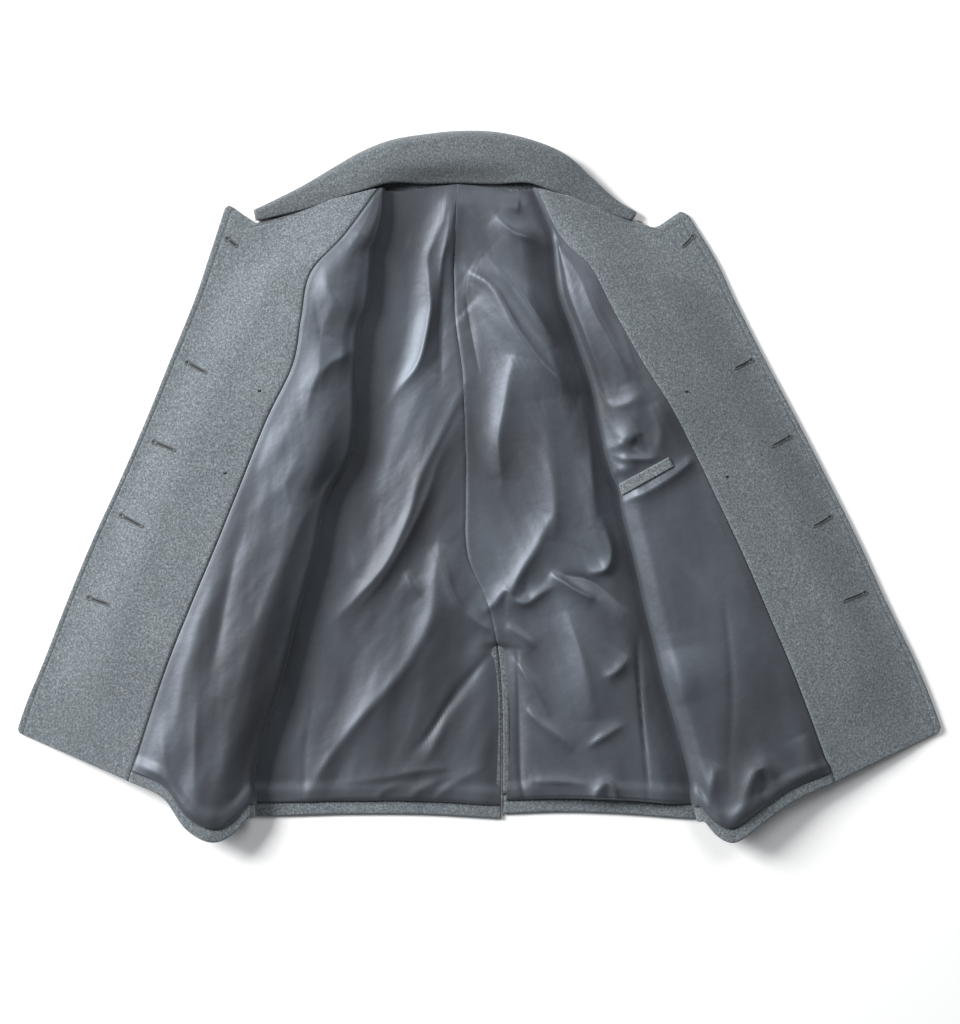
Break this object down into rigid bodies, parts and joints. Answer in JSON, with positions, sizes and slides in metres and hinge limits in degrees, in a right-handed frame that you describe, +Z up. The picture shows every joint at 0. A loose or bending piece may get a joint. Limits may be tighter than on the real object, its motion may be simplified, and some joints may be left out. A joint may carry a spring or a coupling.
{
  "type": "pea coat",
  "caption": "Double-breasted wool pea coat with a satin lining, laid open flat with its inside up, fronts turned outwards and collar fall folded back.",
  "frame": {"origin": "centre of the coat's bounding box in plan, on the surface that it lies on", "axes": "+Z up, away from the surface; +Y from hem to collar; +X across, towards the front that has the inside pocket"},
  "size_m": [1.1102, 0.846, 0.0385],
  "materials": {
    "wool": "heather melton, matt and slightly napped",
    "satin": "smooth satin, soft sheen",
    "button": "horn-look, semi-matt"
  },
  "bodies": {
    "root": {"back_shell_left": "wool", "back_shell_right": "wool", "front_shell_left": "wool", "front_shell_right": "wool", "facing_left": "wool", "facing_right": "wool", "hem_back_left": "wool", "hem_back_right": "wool", "hem_front_left": "wool", "hem_front_right": "wool", "vent_facing_left": "wool", "vent_facing_right": "wool", "sleeve_left": "wool", "sleeve_right": "wool", "upper_collar": "wool", "under_collar": "wool", "pocket_welt": "wool", "back_lining_left": "satin", "back_lining_right": "satin", "front_lining_left": "satin", "front_lining_right": "satin", "button_left_upper": "button", "button_left_lower": "button", "button_right_upper": "button", "button_right_lower": "button"}
  },
  "joints": []
}
